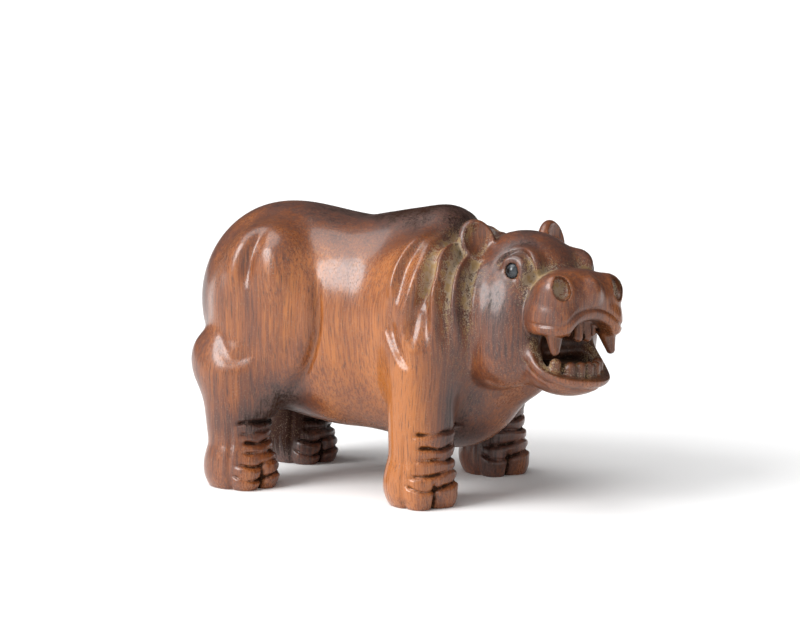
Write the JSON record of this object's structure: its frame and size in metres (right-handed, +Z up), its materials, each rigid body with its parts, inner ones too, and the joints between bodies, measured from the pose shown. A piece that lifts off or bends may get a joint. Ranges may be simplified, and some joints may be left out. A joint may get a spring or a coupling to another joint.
{
  "type": "netsuke",
  "caption": "Carved hardwood hippopotamus toggle figure that stands on its feet, head turned to one side, mouth open, with inlaid bead eyes.",
  "frame": {"origin": "middle of the bounding box in plan, at the level of the soles", "axes": "+X towards the head end, +Y to the animal's left, +Z up"},
  "size_m": [0.0587, 0.0311, 0.0353],
  "materials": {
    "hardwood": "satin, worn polish",
    "eye_bead": "polished"
  },
  "bodies": {
    "root": {"carved_body": "hardwood", "right_eye": "eye_bead", "left_eye": "eye_bead"}
  },
  "joints": []
}
